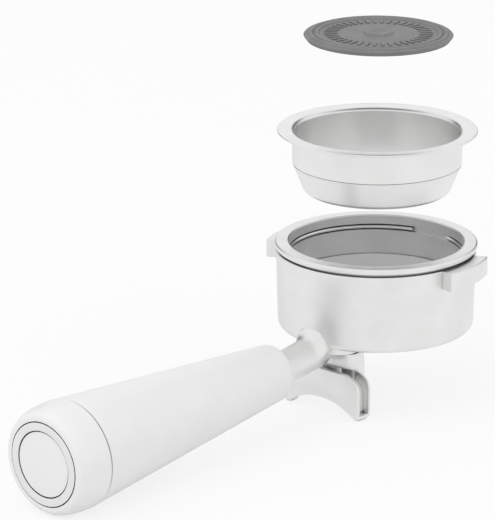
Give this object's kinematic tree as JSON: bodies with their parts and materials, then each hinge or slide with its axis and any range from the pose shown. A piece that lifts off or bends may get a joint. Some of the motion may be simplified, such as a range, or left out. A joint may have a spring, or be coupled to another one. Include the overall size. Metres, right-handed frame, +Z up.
{
  "type": "portafilter",
  "caption": "Espresso portafilter with bayonet lugs, twin spout and tapered handle, its lift-out filter basket and flexible cleaning disc held apart above the cup.",
  "frame": {"origin": "centre of the bounding box on the plane that the spout's feet and the handle's end stand on", "axes": "+Z up along the cup's axis, the handle points along -X, the two spout mouths lie along -Y and +Y"},
  "size_m": [0.188, 0.0744, 0.1226],
  "materials": {
    "portafilter_body": "satin",
    "basket_spring": "bright",
    "drain_liner": "matt",
    "screw_washer": "matt",
    "spout_screw": "bright",
    "spout_gasket": "matt",
    "twin_spout": "satin",
    "neck_stud": "bright",
    "neck_seal": "matt",
    "grip_sleeve": "bright",
    "handle_grip": "satin",
    "flat_washer": "bright",
    "spring_washer": "bright",
    "handle_nut": "bright",
    "end_cap": "satin",
    "cap_seal": "matt",
    "end_ring": "satin",
    "end_insert": "satin",
    "filter_basket": "bright",
    "cleaning_disc": "matt"
  },
  "bodies": {
    "portafilter": {"portafilter_body": "portafilter_body", "basket_spring": "basket_spring", "drain_liner": "drain_liner", "screw_washer": "screw_washer", "spout_screw": "spout_screw", "spout_gasket": "spout_gasket", "twin_spout": "twin_spout", "neck_stud": "neck_stud", "neck_seal": "neck_seal", "grip_sleeve": "grip_sleeve", "handle_grip": "handle_grip", "flat_washer": "flat_washer", "spring_washer": "spring_washer", "handle_nut": "handle_nut", "end_cap": "end_cap", "cap_seal": "cap_seal", "end_ring": "end_ring", "end_insert": "end_insert"},
    "basket": {"filter_basket": "filter_basket"},
    "disc": {"cleaning_disc": "cleaning_disc"}
  },
  "joints": [
    {"name": "basket_lift", "type": "slide", "parent": "portafilter", "child": "basket", "axis": [0, 0, 1], "range_m": [-0.0367, 0]},
    {"name": "disc_lift", "type": "slide", "parent": "basket", "child": "disc", "axis": [0, 0, 1], "range_m": [-0.0487, 0]}
  ]
}
